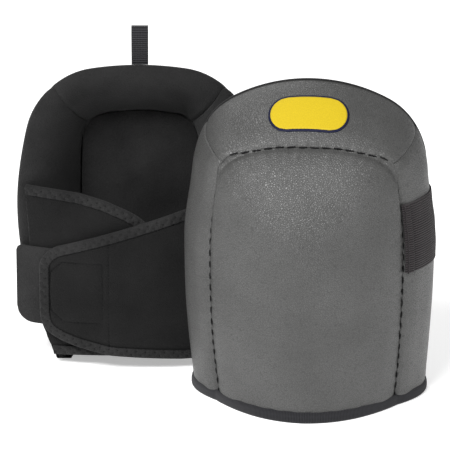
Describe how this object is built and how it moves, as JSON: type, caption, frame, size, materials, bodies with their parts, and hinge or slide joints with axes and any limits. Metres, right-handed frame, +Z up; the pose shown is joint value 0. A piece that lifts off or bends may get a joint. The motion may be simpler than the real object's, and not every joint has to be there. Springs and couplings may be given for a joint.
{
  "type": "strap-on knee pad pair",
  "caption": "Domed leatherette knee pads with a lined foam cup, a wrap-over strap closed by a hook tab, an elastic side band and a hang loop.",
  "frame": {"origin": "middle of the overall box at the floor the pads stand on", "axes": "+X from the rear pad towards the front pad, +Y away from the viewer of the front pad, +Z up"},
  "size_m": [0.3068, 0.2374, 0.2575],
  "materials": {
    "leatherette": "pebbled, satin",
    "foam": "matte",
    "knit": "matte knit",
    "tape": "ribbed tape",
    "elastic": "ribbed elastic",
    "badge": "printed, matte",
    "hook": "hook tape",
    "webbing": "ribbed webbing"
  },
  "bodies": {
    "front_pad": {"front_center_cover": "leatherette", "front_top_cover": "leatherette", "front_right_wing_cover": "leatherette", "front_left_wing_cover": "leatherette", "front_knee_foam": "foam", "front_top_foam": "foam", "front_right_wing_foam": "foam", "front_left_wing_foam": "foam", "front_cup_cushion": "foam", "front_cup_liner": "knit", "front_top_liner": "knit", "front_right_wing_liner": "knit", "front_left_wing_liner": "knit", "front_bottom_binding": "tape", "front_elastic_band": "elastic", "front_band_hem": "elastic", "front_badge": "badge", "front_short_strap_root": "knit", "front_long_strap_root": "knit", "front_long_strap_root_binding_top": "tape", "front_long_strap_root_binding_foot": "tape"},
    "front_long_strap": {"front_long_strap": "knit", "front_long_strap_binding": "tape", "front_hook_tab_root": "hook"},
    "front_hook_tab": {"front_hook_tab": "hook"},
    "front_short_strap": {"front_short_strap": "knit", "front_short_strap_binding": "tape"},
    "rear_pad": {"rear_center_cover": "leatherette", "rear_top_cover": "leatherette", "rear_right_wing_cover": "leatherette", "rear_left_wing_cover": "leatherette", "rear_knee_foam": "foam", "rear_top_foam": "foam", "rear_right_wing_foam": "foam", "rear_left_wing_foam": "foam", "rear_cup_cushion": "foam", "rear_cup_liner": "knit", "rear_top_liner": "knit", "rear_right_wing_liner": "knit", "rear_left_wing_liner": "knit", "rear_bottom_binding": "tape", "rear_elastic_band": "elastic", "rear_band_hem": "elastic", "rear_badge": "badge", "rear_short_strap_root": "knit", "rear_long_strap_root": "knit", "rear_long_strap_root_binding_top": "tape", "rear_long_strap_root_binding_foot": "tape"},
    "rear_long_strap": {"rear_long_strap": "knit", "rear_long_strap_binding": "tape", "rear_hook_tab_root": "hook"},
    "rear_hook_tab": {"rear_hook_tab": "hook"},
    "rear_short_strap": {"rear_short_strap": "knit", "rear_short_strap_binding": "tape"},
    "rear_hang_loop": {"rear_hang_loop": "webbing"}
  },
  "joints": [
    {"name": "front_long_strap_open", "type": "hinge", "parent": "front_pad", "child": "front_long_strap", "pos_m": [0.05053, 0.00293, 0.062], "axis": [0, 0, 1], "range_deg": [0, 105]},
    {"name": "front_hook_tab_peel", "type": "hinge", "parent": "front_long_strap", "child": "front_hook_tab", "pos_m": [0.13567, -0.01811, 0.059], "axis": [0, 0, 1], "range_deg": [0, 60]},
    {"name": "front_short_strap_tuck", "type": "hinge", "parent": "front_pad", "child": "front_short_strap", "pos_m": [0.13315, -0.02399, 0.074], "axis": [0, 0, 1], "range_deg": [0, 25]},
    {"name": "rear_long_strap_open", "type": "hinge", "parent": "rear_pad", "child": "rear_long_strap", "pos_m": [-0.04737, -0.00133, 0.062], "axis": [0, 0, 1], "range_deg": [0, 105]},
    {"name": "rear_hook_tab_peel", "type": "hinge", "parent": "rear_long_strap", "child": "rear_hook_tab", "pos_m": [-0.13377, 0.01371, 0.059], "axis": [0, 0, 1], "range_deg": [0, 60]},
    {"name": "rear_short_strap_tuck", "type": "hinge", "parent": "rear_pad", "child": "rear_short_strap", "pos_m": [-0.13167, 0.01976, 0.074], "axis": [0, 0, 1], "range_deg": [0, 25]},
    {"name": "rear_hang_loop_tip", "type": "hinge", "parent": "rear_pad", "child": "rear_hang_loop", "pos_m": [-0.06137, 0.03334, 0.2305], "axis": [1, 0, 0], "range_deg": [-35, 35]},
    {"name": "rear_pad_apart", "type": "slide", "parent": "front_pad", "child": "rear_pad", "axis": [-1, 0, 0], "range_m": [0, 0.15]}
  ]
}
